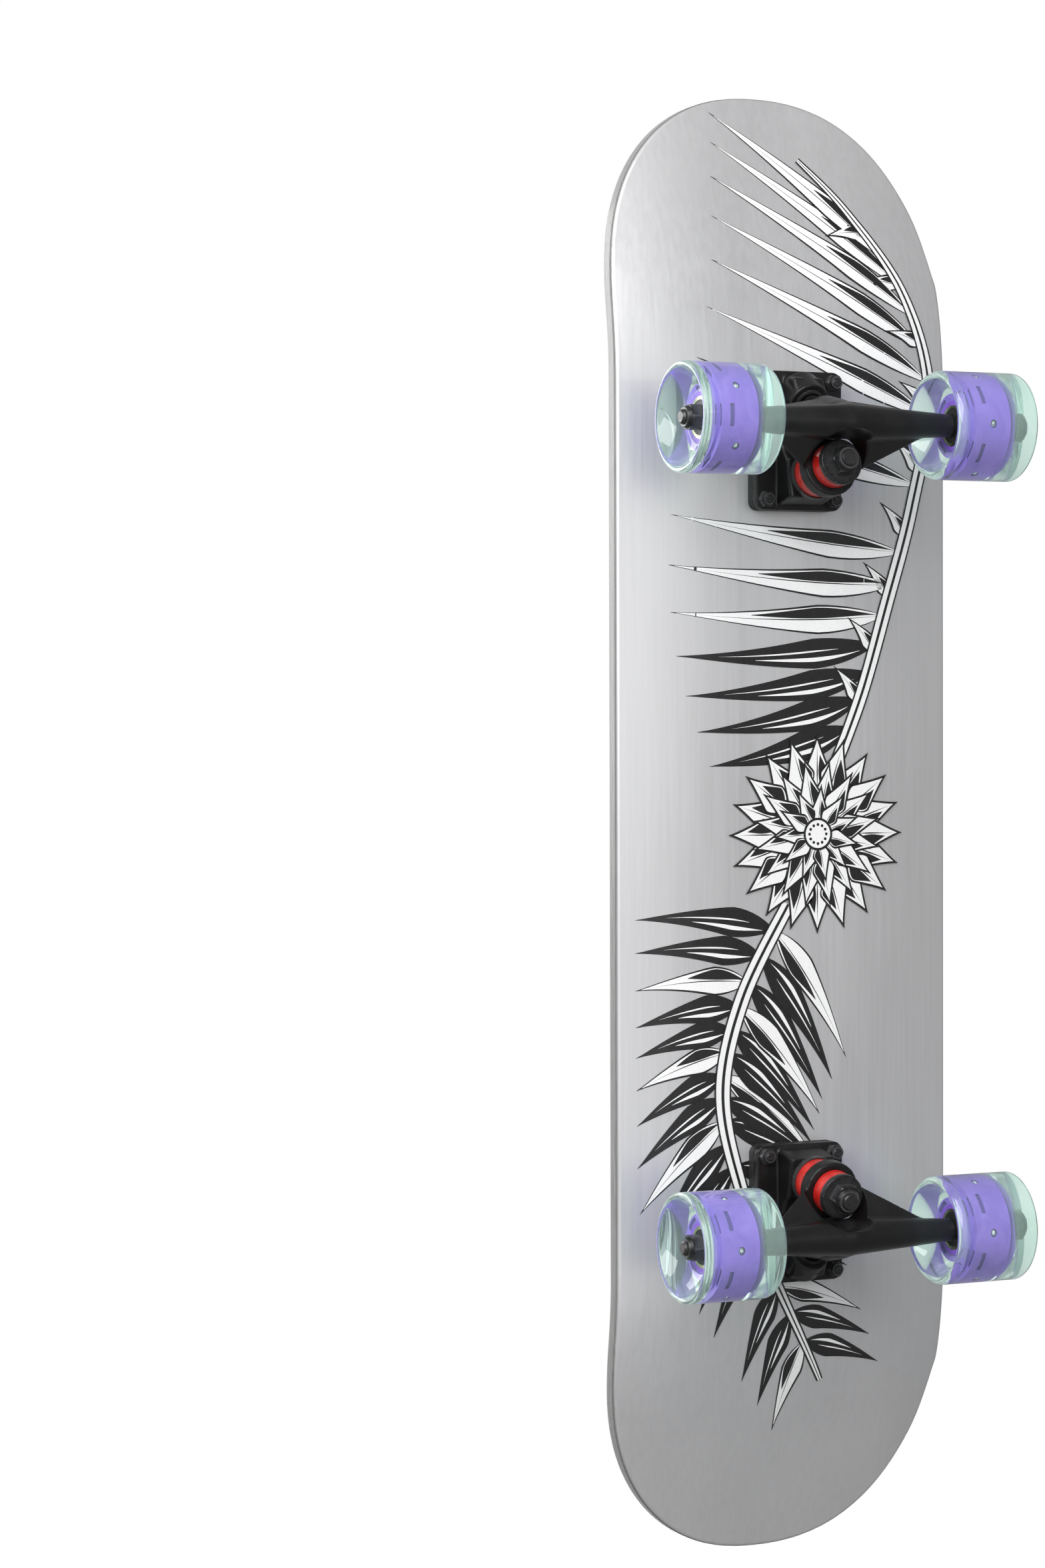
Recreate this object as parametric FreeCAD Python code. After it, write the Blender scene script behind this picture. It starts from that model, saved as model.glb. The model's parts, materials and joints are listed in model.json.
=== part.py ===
"""Skateboard with a seven-ply concave deck, two kingpin trucks and four light-up wheels.

Row frame, millimetres: +X towards the nose, +Y to the rider's left, +Z up. The origin is on the ground,
midway between the four wheels. Each truck is drawn once in its own frame (x outboard, z = 0 on the
underside of the deck) and then placed twice; each wheel is drawn once about its own centre.
"""
import FreeCAD, Part
import math
import os

V = FreeCAD.Vector
UP = V(0, 0, 1)
LEFT = V(0, 1, 0)

# ---- deck -------------------------------------------------------------------------------------
DECK_LENGTH = 800.0          # 31.5 in over the tips
DECK_WIDTH = 203.0           # 8 in
DECK_THICKNESS = 10.5        # seven maple plies
FLAT_HALF_WIDTH = 32.0       # flat strip under the trucks, before the concave starts
CONCAVE_RISE = 8.0           # how far the rails stand above the flat strip
KICK_START = 240.0           # where nose and tail begin to curl up
KICK_RADIUS = 240.0
KICK_ANGLE = 18.5            # degrees
END_LENGTH = 125.0           # length of the rounded end of the outline
END_POWER = 2.25             # 2 is an ellipse, more is squarer
RAIL_ROUND = 2.6
GRIP_THICKNESS = 0.8
GRIP_INSET = 3.2             # bare rail left round the grip tape
GLUE = 0.02                  # gap that stands for the glue line
DECK_TOP = DECK_THICKNESS + GLUE + GRIP_THICKNESS
HEAD_R = 4.6                 # countersunk heads of the mounting bolts
HEAD_DEPTH = 2.6
HEAD_SINK = 0.2              # how far they lie below the grip tape

# ---- truck, in its own frame ------------------------------------------------------------------
TRUCK_X = 208.6              # centre of each bolt group from the middle of the deck
AXLE_X = 6.2                 # axle, outboard of the bolt group's centre
AXLE_DROP = 63.0             # axle, below the underside of the deck
HOLE_X = 63.5                # old-school bolt pattern, 2.5 in by 1.625 in
HOLE_Y = 41.3
HOLE_R = 2.75
PLATE_LENGTH = 75.0
PLATE_WIDTH = 52.0
PLATE_CORNER = 5.0
RISER_THICKNESS = 5.0
FLANGE_THICKNESS = 5.0
BODY_HALF_WIDTH = 13.5
PIVOT_HALF_WIDTH = 9.5
HOOD_R = 11.2                # round housing of the pivot cup
KINGPIN_LEAN = 10.5          # degrees from vertical, tip towards the axle
KINGPIN_TIP = V(-12.1, 0, -66.0)
KINGPIN_R = 4.76             # 3/8 in
PIVOT_BALL = V(21.5, 0, -16.9)
PIVOT_BALL_R = 5.5
CUP_LEAN = 30.5              # degrees from vertical of the pivot cup
CUP_R = 7.5
CUP_DEPTH = 11.5
AXLE_R = 4.0
AXLE_HALF = 99.0

# distances up the kingpin from its tip
NUT_AT = 1.5
ROAD_WASHER_AT = 9.5
CONE_AT = 11.0
RING_AT = 21.0
BARREL_AT = 29.0
BOARD_WASHER_AT = 41.7
SEAT_AT = 43.2
HEAD_AT = 55.5
HEAD_TOP = 61.5
RING_R = 15.5
RING_BORE_R = 9.5
BARREL_R = 12.2

# ---- wheel, about its own centre --------------------------------------------------------------
WHEEL_Y = 75.6               # wheel centre from the middle of the board
WHEEL_R = 29.0
WHEEL_HALF = 24.1
LIP_R = 1.6                  # rounding of the edge between the tread and the outer face
INNER_SHOULDER_R = 4.5       # the inner face has a rounder shoulder
SHOULDER_JOIN = 35.0         # degrees from the axle where shoulder and lip meet
LIP_END = -68.0              # and where the lip runs into the bowl
BOWL_R = 14.0                # radius of the bowl's floor at the hub
HUB_HALF = 12.0
DRUM_HALF = 10.5
DRUM_R = 18.5
SLEEVE_R = 13.5
LED_COUNT = 4
GROOVE_Z = (3.4, 5.8)        # the grooves lie to one side of the lights
BEARING_R = 11.0
BEARING_BORE_R = 4.02
BEARING_WIDTH = 7.0
PITCH_R = 7.6
BALL_R = 1.95
GROOVE_R = 2.1
BALL_COUNT = 7

SPEED_RING = 1.0
INNER_FACE = WHEEL_Y - HUB_HALF
OUTER_FACE = WHEEL_Y + HUB_HALF
HANGER_HALF = INNER_FACE - SPEED_RING

DECK_Z = WHEEL_R + AXLE_DROP  # underside of the deck above the ground


def save(name, solids):
    """Writes one sub-part, which may be a group of separate solids."""
    shape = solids[0] if len(solids) == 1 else Part.makeCompound(solids)
    shape.exportStep(os.path.join("parts", name + ".step"))
    print(f"{name:32s} {len(shape.Solids):3d} solids {shape.Volume:12.1f} mm3 valid {shape.isValid()}")


def polar(angle, r=1.0):
    """A point r away from the Z axis at an angle in degrees."""
    a = math.radians(angle)
    return V(r * math.cos(a), r * math.sin(a), 0)


def face_of(points):
    return Part.Face(Part.makePolygon(points + points[:1]))


def pose(shape, base, direction):
    """Moves a shape that was drawn along +Z from the origin, so that it starts at base along direction."""
    moved = shape.copy()
    moved.Placement = FreeCAD.Placement(base, FreeCAD.Rotation(UP, direction)).multiply(moved.Placement)
    return moved


def rod(r, low, high):
    return Part.makeCylinder(r, high - low, V(0, 0, low))


def tube(outer, inner, low, high):
    return rod(outer, low, high).cut(rod(inner, low - 1, high + 1))


def hexagon(across_flats, low, high):
    corners = [polar(60 * k + 30, across_flats / 2 / math.cos(math.radians(30))) for k in range(6)]
    face = face_of([c + V(0, 0, low) for c in corners])
    return face.extrude(V(0, 0, high - low))


def lock_nut(across_flats, bore, low, high):
    """A hex nut with chamfered corners and the round nylon collar on top."""
    collar = 0.25 * (high - low)
    corner = across_flats / 2 / math.cos(math.radians(30))
    top = high - collar
    bevel = Part.makeCone(corner + top - low - 0.6, corner - 0.6, top - low, V(0, 0, low))
    nut = hexagon(across_flats, low, top).common(bevel)
    nut = nut.fuse(Part.makeCone(across_flats * 0.48, across_flats * 0.40, collar, V(0, 0, top)))
    return nut.cut(rod(bore, low - 1, high + 1)).removeSplitter()


def fillet_where(shape, radius, test):
    """Rounds the edges that the test picks."""
    return shape.makeFillet(radius, [e for e in shape.Edges if test(e)])


def is_circle(edge, radius, z=None):
    """True for a full circle of that radius about Z, at height z if that is given."""
    if not isinstance(edge.Curve, Part.Circle) or abs(edge.Curve.Radius - radius) > 0.01:
        return False
    return z is None or abs(edge.Curve.Center.z - z) < 0.01


# ---- deck -------------------------------------------------------------------------------------
def deck_section(low, high):
    """The deck's cross-section between two heights above its underside: flat, then curling up."""
    half = DECK_WIDTH / 2 - FLAT_HALF_WIDTH
    bend = 2 * math.atan(CONCAVE_RISE / half)
    radius = half / math.sin(bend)
    sweep = bend + math.radians(2)

    def rail(height, share):
        r = radius - height
        a = sweep * share
        return V(0, FLAT_HALF_WIDTH + r * math.sin(a), radius - r * math.cos(a))

    def mirror(p):
        return V(p.x, -p.y, p.z)

    edges = []
    for h in (low, high):
        start, middle, end = rail(h, 0), rail(h, 0.5), rail(h, 1)
        edges += [Part.makeLine(mirror(start), start), Part.Arc(start, middle, end).toShape()]
        edges.append(Part.Arc(mirror(start), mirror(middle), mirror(end)).toShape())
    for side in (rail, lambda h, s: mirror(rail(h, s))):
        edges.append(Part.makeLine(side(low, 1), side(high, 1)))
    return Part.Face(Part.Wire(Part.__sortEdges__(edges)))


def curved_plate(low, high):
    """A plate of that section, level in the middle and turned up at nose and tail."""
    section = deck_section(low, high)
    section.translate(V(-KICK_START, 0, 0))
    plate = section.extrude(V(2 * KICK_START, 0, 0))
    centre = V(KICK_START, 0, KICK_RADIUS)
    root = section.copy()
    root.translate(V(2 * KICK_START, 0, 0))
    curl = root.revolve(centre, V(0, -1, 0), KICK_ANGLE)
    tip = root.copy()
    tip.rotate(centre, V(0, -1, 0), KICK_ANGLE)
    slope = math.radians(KICK_ANGLE)
    tip = tip.extrude(V(math.cos(slope), 0, math.sin(slope)) * (DECK_LENGTH / 3))
    kick = curl.fuse(tip)
    return plate.fuse([kick, kick.mirror(V(0, 0, 0), V(1, 0, 0))]).removeSplitter()


def outline(inset):
    """The deck's plan as a tall prism: straight rails and superelliptic ends."""
    half_width = DECK_WIDTH / 2 - inset
    end = END_LENGTH - inset
    start = DECK_LENGTH / 2 - END_LENGTH
    steps = 16

    def nose(k):
        a = math.pi * (k / steps - 0.5)
        across = math.copysign(abs(math.sin(a)) ** (2 / END_POWER), a)
        return V(start + end * math.cos(a) ** (2 / END_POWER), half_width * across, 0)

    points = [V(start, -half_width, 0)] + [nose(k) for k in range(1, steps)] + [V(start, half_width, 0)]
    curve = Part.BSplineCurve()
    curve.interpolate(Points=points, InitialTangent=V(1, 0, 0), FinalTangent=V(-1, 0, 0))
    right = curve.toShape()
    left = right.mirror(V(0, 0, 0), V(1, 0, 0))
    rails = [Part.makeLine(V(-start, s * half_width, 0), V(start, s * half_width, 0)) for s in (-1, 1)]
    face = Part.Face(Part.Wire(Part.__sortEdges__([right, left] + rails)))
    prism = face.extrude(V(0, 0, 200))
    prism.translate(V(0, 0, -20))
    return prism


def bolt_places():
    return [V(end * TRUCK_X + sx * HOLE_X / 2, sy * HOLE_Y / 2, 0)
            for end in (-1, 1) for sx in (-1, 1) for sy in (-1, 1)]


def make_deck():
    deck = curved_plate(0, DECK_THICKNESS).common(outline(0))
    rim = []
    for e in deck.Edges:
        faces = deck.ancestorsOfType(e, Part.Face)
        upright = [abs(f.normalAt(*f.Surface.parameter(e.valueAt(e.FirstParameter))).z) < 0.02 for f in faces]
        if any(upright) and not all(upright):
            rim.append(e)
    deck = deck.makeFillet(RAIL_ROUND, rim)
    sink = Part.makeCone(HEAD_R - HEAD_DEPTH + 0.1, HEAD_R + 0.1, HEAD_DEPTH, V(0, 0, DECK_TOP - HEAD_DEPTH))
    for p in bolt_places():
        hole = rod(HOLE_R, -1, DECK_TOP).fuse(sink)
        hole.translate(p)
        deck = deck.cut(hole)
    deck.translate(V(0, 0, DECK_Z))
    return deck


def make_grip():
    grip = curved_plate(DECK_THICKNESS + GLUE, DECK_TOP).common(outline(GRIP_INSET))
    for p in bolt_places():
        hole = rod(HEAD_R + 0.1, 0, 30)
        hole.translate(p)
        grip = grip.cut(hole)
    grip.translate(V(0, 0, DECK_Z))
    return grip


def make_mounting_bolts():
    """Countersunk cross-head bolts, flush with the grip tape."""
    tip = -RISER_THICKNESS - FLANGE_THICKNESS - 5.2
    bolt = rod(2.45, tip + 0.6, DECK_TOP - 1).fuse(Part.makeCone(1.9, 2.45, 0.6, V(0, 0, tip)))
    head = HEAD_DEPTH - HEAD_SINK
    under_head = V(0, 0, DECK_TOP - HEAD_DEPTH)
    bolt = bolt.fuse(Part.makeCone(HEAD_R - HEAD_DEPTH, HEAD_R - HEAD_SINK, head, under_head))
    for turn in (0, 90):
        arm = Part.makeBox(4.6, 1.0, 2.0, V(-2.3, -0.5, DECK_TOP - 1.9))
        arm.rotate(V(0, 0, 0), UP, turn)
        bolt = bolt.cut(arm)
    return [copy_at(bolt, p + V(0, 0, DECK_Z)) for p in bolt_places()]


def make_mounting_nuts():
    under = -RISER_THICKNESS - FLANGE_THICKNESS
    nut = lock_nut(8.0, 2.5, 0, 4.8)
    nut.rotate(V(0, 0, 0), V(1, 0, 0), 180)
    return [copy_at(nut, p + V(0, 0, DECK_Z + under)) for p in bolt_places()]


def copy_at(shape, place):
    moved = shape.copy()
    moved.translate(place)
    return moved


# ---- truck ------------------------------------------------------------------------------------
lean = math.radians(KINGPIN_LEAN)
KINGPIN_UP = V(-math.sin(lean), 0, math.cos(lean))
cup_lean = math.radians(CUP_LEAN)
CUP_OUT = V(-math.sin(cup_lean), 0, -math.cos(cup_lean))
AXLE = V(AXLE_X, 0, -AXLE_DROP)
RING_CENTRE = KINGPIN_TIP + KINGPIN_UP * ((RING_AT + BARREL_AT) / 2)
STEERING = (PIVOT_BALL - RING_CENTRE).normalize()


def on_kingpin(shape):
    """Puts a shape drawn along +Z from 0 onto the kingpin, whose tip is 0."""
    return pose(shape, KINGPIN_TIP, KINGPIN_UP)


def plate(low, high):
    """The rounded rectangle that the riser and the baseplate share, with its four bolt holes."""
    size = V(PLATE_LENGTH, PLATE_WIDTH, high - low)
    block = Part.makeBox(size.x, size.y, size.z, V(-size.x / 2, -size.y / 2, low))
    block = fillet_where(block, PLATE_CORNER, lambda e: abs(e.tangentAt(e.FirstParameter).z) > 0.9)
    for sx in (-1, 1):
        for sy in (-1, 1):
            hole = rod(HOLE_R, low - 1, high + 1)
            hole.translate(V(sx * HOLE_X / 2, sy * HOLE_Y / 2, 0))
            block = block.cut(hole)
    return block


def make_riser():
    """Rubber riser pad, with the window that clears the kingpin's head."""
    window = Part.makeBox(46, 22, RISER_THICKNESS + 2, V(-33, -11, -RISER_THICKNESS - 1))
    window = fillet_where(window, 4, lambda e: abs(e.tangentAt(e.FirstParameter).z) > 0.9)
    return plate(-RISER_THICKNESS, 0).cut(window)


def make_baseplate():
    """Cast baseplate: flange, pivot block outboard, kingpin block inboard and the arch between."""
    top = -RISER_THICKNESS
    under = top - FLANGE_THICKNESS
    seat = KINGPIN_TIP + KINGPIN_UP * SEAT_AT
    across = V(KINGPIN_UP.z, 0, -KINGPIN_UP.x)
    seat_out, seat_in = seat + across * 9.5, seat - across * 11.5
    mouth = PIVOT_BALL + CUP_OUT * 5
    level = V(-CUP_OUT.z, 0, CUP_OUT.x)
    mouth_out, mouth_in = mouth + level * 7.0, mouth - level * 8.5
    arch_top = V(1.5, 0, -13.7)
    start = V(35.0, 0, under + 1)
    finish = V(-35.5, 0, under + 1)
    arch = Part.BSplineCurve()
    arch.interpolate(Points=[mouth_in, arch_top, seat_out])
    edges = [
        Part.makeLine(start, V(33.0, 0, -20.5)),
        Part.makeLine(V(33.0, 0, -20.5), mouth_out),
        Part.makeLine(mouth_out, mouth_in),
        arch.toShape(),
        Part.makeLine(seat_out, seat_in),
        Part.makeLine(seat_in, finish),
        Part.makeLine(finish, start),
    ]
    profile = Part.Face(Part.Wire(edges))
    halves = []
    for half_width, from_x in ((BODY_HALF_WIDTH, -60), (PIVOT_HALF_WIDTH, 0)):
        block = profile.extrude(V(0, 2 * half_width, 0))
        block.translate(V(0, -half_width, 0))
        block = block.common(Part.makeBox(60, 60, 60, V(from_x, -30, -60)))
        halves.append(fillet_where(block, 1.8, lambda e: abs(abs(e.CenterOfMass.y) - half_width) < 0.01
                                   and e.CenterOfMass.z < under and abs(e.CenterOfMass.x) > 0.5))
    hood = Part.makeCone(HOOD_R, HOOD_R + 1.5, 14)
    hood = pose(hood, mouth, CUP_OUT * -1).common(Part.makeBox(80, 60, 60, V(-40, -30, top - 60)))
    body = halves[0].fuse([halves[1], hood]).removeSplitter()
    base = plate(under, top).fuse(body)
    base = base.cut(on_kingpin(rod(KINGPIN_R + 0.15, SEAT_AT - 5, HEAD_TOP + 10)))
    base = base.cut(on_kingpin(rod(8.6, HEAD_AT, HEAD_TOP + 10)))
    socket = pose(rod(CUP_R, -5, CUP_DEPTH), mouth, CUP_OUT * -1)
    return base.cut(socket)


def make_pivot_cup():
    """Urethane cup with a round pocket for the hanger's pivot and a lip outside the socket."""
    mouth = PIVOT_BALL + CUP_OUT * 5
    cup = pose(rod(CUP_R, 0, CUP_DEPTH), mouth, CUP_OUT * -1)
    cup = cup.fuse(pose(rod(CUP_R + 0.9, -1.2, 0), mouth, CUP_OUT * -1))
    cup = cup.cut(Part.makeSphere(PIVOT_BALL_R + 0.1, PIVOT_BALL))
    return cup.cut(pose(Part.makeCone(PIVOT_BALL_R + 0.1, 7.4, 8.5), PIVOT_BALL, CUP_OUT))


def make_kingpin():
    """Kingpin bolt with a hex head, a plain shank and a grooved thread under the nut."""
    pin = rod(KINGPIN_R, 1, HEAD_AT).fuse(Part.makeCone(3.9, KINGPIN_R, 1, V(0, 0, 0)))
    for k in range(8):
        at = 0.8 + 1.06 * k
        pin = pin.cut(tube(KINGPIN_R + 1, KINGPIN_R - 0.45, at, at + 0.45))
    return on_kingpin(pin.fuse(hexagon(14.3, HEAD_AT, HEAD_TOP)))


def make_kingpin_nut():
    nut = lock_nut(14.3, KINGPIN_R + 0.02, 0, ROAD_WASHER_AT - NUT_AT)
    nut.rotate(V(0, 0, 0), V(1, 0, 0), 180)
    return on_kingpin(copy_at(nut, V(0, 0, ROAD_WASHER_AT)))


def cup_washer(outer, inner_lip, disc, lip, low, towards):
    """A pressed washer whose rim folds over the bushing's end, up the kingpin where towards is +1."""
    high = low + disc
    washer = tube(outer, KINGPIN_R + 0.1, low, high)
    if towards > 0:
        washer = washer.fuse(tube(outer, inner_lip, high, high + lip))
        edge = low
    else:
        washer = washer.fuse(tube(outer, inner_lip, low - lip, low))
        edge = high
    washer = washer.removeSplitter()
    return on_kingpin(fillet_where(washer, 0.9, lambda e: is_circle(e, outer, edge)))


def bushing(big, small, low, high, boss):
    """A urethane bushing: big is its radius at the hanger's ring, and boss how far it plugs into it."""
    ring_end, far_end = (low, high) if boss < 0 else (high, low)
    bottom, top = (big, small) if ring_end == low else (small, big)
    body = Part.makeCone(bottom, top, high - low, V(0, 0, low)) if big != small else rod(big, low, high)
    body = fillet_where(body, 1.2, lambda e: isinstance(e.Curve, Part.Circle))
    plug = rod(RING_BORE_R - 0.1, min(ring_end, ring_end + boss), max(ring_end, ring_end + boss))
    return on_kingpin(body.fuse(plug).cut(rod(KINGPIN_R + 0.24, low - 10, high + 10)))


def make_hanger():
    """Cast hanger: tapered axle housing, webs to the kingpin ring and to the stem, and the pivot ball."""
    half = [(0, 10.0), (58, 6.3), (HANGER_HALF, 6.3)]
    profile = [V(0, -y, r) for y, r in reversed(half)] + [V(0, y, r) for y, r in half[1:]]
    profile += [V(0, HANGER_HALF, 0), V(0, -HANGER_HALF, 0)]
    bar = face_of(profile).revolve(V(0, 0, 0), LEFT, 360)
    bar.translate(AXLE)

    reach = (RING_CENTRE - AXLE).normalize()
    thick = V(reach.z, 0, -reach.x)

    def web_wire(centre, half_length, half_thick):
        corners = [LEFT * (sy * half_length) + thick * (st * half_thick)
                   for sy, st in ((-1, -1), (1, -1), (1, 1), (-1, 1))]
        return Part.makePolygon([centre + c for c in corners + corners[:1]])

    web = Part.makeLoft([web_wire(AXLE, 52, 5.0), web_wire(RING_CENTRE, 14.5, 3.9)], True, True)
    ring = on_kingpin(rod(RING_R, RING_AT, BARREL_AT))

    stem_axis = (PIVOT_BALL - AXLE).normalize()
    length = (PIVOT_BALL - AXLE).Length
    taper = [(0, 0), (0, 10.0), (10, 10.0), (26, 8.2), (length - 12, 5.0), (length, 4.6), (length, 0)]
    stem = pose(turned(taper), AXLE, stem_axis)
    gusset_thick = V(stem_axis.z, 0, -stem_axis.x)

    def gusset_wire(distance, half_length, half_thick):
        corners = [LEFT * (sy * half_length) + gusset_thick * (st * half_thick)
                   for sy, st in ((-1, -1), (1, -1), (1, 1), (-1, 1))]
        return Part.makePolygon([AXLE + stem_axis * distance + c for c in corners + corners[:1]])

    gusset = Part.makeLoft([gusset_wire(0, 56, 5.8), gusset_wire(25, 7, 6.6)], True, True)
    ball = Part.makeSphere(PIVOT_BALL_R, PIVOT_BALL)

    hanger = bar.fuse([web, ring, gusset, stem, ball]).removeSplitter()
    hanger = hanger.cut(on_kingpin(rod(RING_BORE_R, RING_AT - 1, BARREL_AT + 1)))
    hanger = hanger.cut(on_kingpin(stadium(13.2, 4.0, RING_AT - 40, RING_AT)))
    hanger = hanger.cut(on_kingpin(stadium(14.0, 5.0, BARREL_AT, BARREL_AT + 12)))
    bore = Part.makeCylinder(AXLE_R, 2 * HANGER_HALF + 2, AXLE - LEFT * (HANGER_HALF + 1), LEFT)
    return hanger.cut(bore)


def stadium(radius, half_slot, low, high):
    """A round pocket drawn out sideways, so that the kingpin and its nut stay clear when steering."""
    ends = [copy_at(rod(radius, low, high), V(0, s * half_slot, 0)) for s in (-1, 1)]
    middle = Part.makeBox(2 * radius, 2 * half_slot, high - low, V(-radius, -half_slot, low))
    return middle.fuse(ends).removeSplitter()


def on_axle(shape, y, side=1):
    """Puts a shape drawn along +Z from 0 onto the axle at y, pointing outwards on that side."""
    return pose(shape, AXLE + LEFT * (side * y), LEFT * side)


def make_axle():
    tip = 1.2
    axle = Part.makeCylinder(AXLE_R, 2 * (AXLE_HALF - tip), V(0, 0, -AXLE_HALF + tip))
    for side in (UP, UP * -1):
        end = pose(Part.makeCone(AXLE_R, AXLE_R - tip, tip, V(0, 0, AXLE_HALF - tip)), V(0, 0, 0), side)
        axle = axle.fuse(end)
        for k in range(9):
            at = AXLE_HALF - tip - 0.6 - 1.0 * k
            axle = axle.cut(pose(tube(AXLE_R + 1, AXLE_R - 0.35, at - 0.4, at), V(0, 0, 0), side))
    return pose(axle, AXLE, LEFT)


def make_speed_rings():
    ring = tube(5.8, AXLE_R + 0.05, 0, SPEED_RING)
    return [on_axle(ring, y, s) for s in (-1, 1) for y in (INNER_FACE - SPEED_RING, OUTER_FACE)]


def make_axle_nuts():
    nut = lock_nut(12.7, AXLE_R + 0.02, 0, 8.5)
    return [on_axle(nut, OUTER_FACE + SPEED_RING, s) for s in (-1, 1)]


def bearing_offsets():
    """Middle of the inner and the outer bearing from the wheel's centre."""
    return (-HUB_HALF + BEARING_WIDTH / 2, HUB_HALF - BEARING_WIDTH / 2)


def make_inner_races():
    half = BEARING_WIDTH / 2
    race = tube(5.9, BEARING_BORE_R, -half, half).cut(Part.makeTorus(PITCH_R, GROOVE_R))
    return [on_axle(race, WHEEL_Y + o, s) for s in (-1, 1) for o in bearing_offsets()]


def make_magnet_spacers():
    """Magnet ring between the bearings, which feeds the lights as the wheel turns round it."""
    half = HUB_HALF - BEARING_WIDTH
    spacer = tube(7.2, BEARING_BORE_R, -half, half)
    for k in range(6):
        gap = Part.makeBox(3, 0.8, 2 * half - 3, V(6.6, -0.4, -half + 1.5))
        gap.rotate(V(0, 0, 0), UP, 60 * k)
        spacer = spacer.cut(gap)
    return [on_axle(spacer, WHEEL_Y, s) for s in (-1, 1)]


# ---- wheel, drawn along +Z ----------------------------------------------------------------------
def turned(points):
    """Spins a closed outline of (height, radius) points about Z."""
    return face_of([V(r, 0, z) for z, r in points]).revolve(V(0, 0, 0), UP, 360)


def rim_edges(shoulder_r):
    """Half of the tyre's outline on the face at +Z: hub, bowl, lip, shoulder, tread and the way back."""
    join, end = math.radians(SHOULDER_JOIN), math.radians(LIP_END)

    def on_arc(centre, radius, angle):
        return centre + V(radius * math.sin(angle), 0, radius * math.cos(angle))

    rise = WHEEL_HALF - LIP_R - (shoulder_r - LIP_R) * math.cos(join)
    shoulder = V(WHEEL_R - shoulder_r, 0, rise)
    lip = on_arc(shoulder, shoulder_r - LIP_R, join)
    hub, foot = V(BOWL_R, 0, HUB_HALF), on_arc(lip, LIP_R, end)
    chord = foot - hub
    turn = math.atan2(chord.x, chord.z) - math.pi / 2 - end
    sag = V(chord.z, 0, -chord.x) * (math.tan(turn / 2) / 2)
    tread = on_arc(shoulder, shoulder_r, math.pi / 2)
    arcs = [
        Part.Arc(hub, (hub + foot) * 0.5 + sag, foot),
        Part.Arc(foot, on_arc(lip, LIP_R, (end + join) / 2), on_arc(lip, LIP_R, join)),
        Part.Arc(on_arc(lip, LIP_R, join), on_arc(shoulder, shoulder_r, (join + math.pi / 2) / 2), tread),
    ]
    corners = [tread, V(WHEEL_R, 0, 0), V(SLEEVE_R, 0, 0), V(SLEEVE_R, 0, HUB_HALF), hub]
    return [a.toShape() for a in arcs] + [Part.makeLine(a, b) for a, b in zip(corners, corners[1:])]


def make_tyre():
    """Cast urethane tyre with bowl-shaped faces, moulded round the core. Its outer face is at +Z."""
    halves = []
    for shoulder_r in (LIP_R, INNER_SHOULDER_R):
        outline = Part.Face(Part.Wire(rim_edges(shoulder_r)))
        halves.append(outline.revolve(V(0, 0, 0), UP, 360))
    tyre = halves[0].fuse(halves[1].mirror(V(0, 0, 0), UP)).removeSplitter()
    return tyre.cut(rod(DRUM_R, -DRUM_HALF, DRUM_HALF))


def make_core():
    """Plastic core: bearing sleeve and hollow drum, with grooves, light windows and pockets in one face."""
    seat = HUB_HALF - BEARING_WIDTH
    shell = 2.0
    half = [(DRUM_HALF, DRUM_R), (DRUM_HALF, SLEEVE_R), (HUB_HALF, SLEEVE_R), (HUB_HALF, BEARING_R),
            (seat, BEARING_R), (seat, 9.6)]
    core = turned(half + [(-z, r) for z, r in reversed(half)])
    core = core.cut(tube(DRUM_R - shell, SLEEVE_R, shell - DRUM_HALF, DRUM_HALF - shell))
    for k in range(LED_COUNT):
        turn = 360 / LED_COUNT * k
        window = Part.makeCylinder(1.9, 6, V(DRUM_R - 4, 0, 0), V(1, 0, 0))
        window.rotate(V(0, 0, 0), UP, turn)
        groove = arc_slot(DRUM_R - 1.3, DRUM_R + 1, 32, *GROOVE_Z)
        groove.rotate(V(0, 0, 0), UP, turn + 180 / LED_COUNT)
        slot = arc_slot(SLEEVE_R + 0.9, DRUM_R - 1.2, 34, DRUM_HALF - 1, DRUM_HALF + 1)
        slot.rotate(V(0, 0, 0), UP, turn + 180 / LED_COUNT)
        core = core.cut([window, groove, slot])
    return core


def arc_slot(inner, outer, sweep, low, high):
    """A curved slot centred on the X axis."""
    ring = Part.makeCylinder(outer, high - low, V(0, 0, low), UP, sweep)
    ring = ring.cut(rod(inner, low - 1, high + 1))
    ring.rotate(V(0, 0, 0), UP, -sweep / 2)
    return ring


def make_led_module():
    """Circuit ring, pick-up coil and the round-ended lights that stand in the drum's windows."""
    board = tube(DRUM_R - 2.2, SLEEVE_R + 0.2, -2.8, -1.8)
    coil = tube(DRUM_R - 2.6, SLEEVE_R + 0.3, 2.0, 5.5)
    solids = [board, coil]
    for k in range(LED_COUNT):
        light = Part.makeCylinder(1.75, 2.2, V(DRUM_R - 4.1, 0, 0), V(1, 0, 0))
        light = light.fuse(Part.makeSphere(1.75, V(DRUM_R - 1.9, 0, 0))).removeSplitter()
        light.rotate(V(0, 0, 0), UP, 360 / LED_COUNT * k)
        solids.append(light)
    return solids


def make_outer_races():
    half = BEARING_WIDTH / 2
    race = tube(BEARING_R, 9.3, -half, half).cut(Part.makeTorus(PITCH_R, GROOVE_R))
    return [copy_at(race, V(0, 0, o)) for o in bearing_offsets()]


def make_shields():
    shield = tube(9.28, 6.2, 0, 0.4)
    return [copy_at(shield, V(0, 0, o + z)) for o in bearing_offsets() for z in (-3.3, 2.9)]


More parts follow.
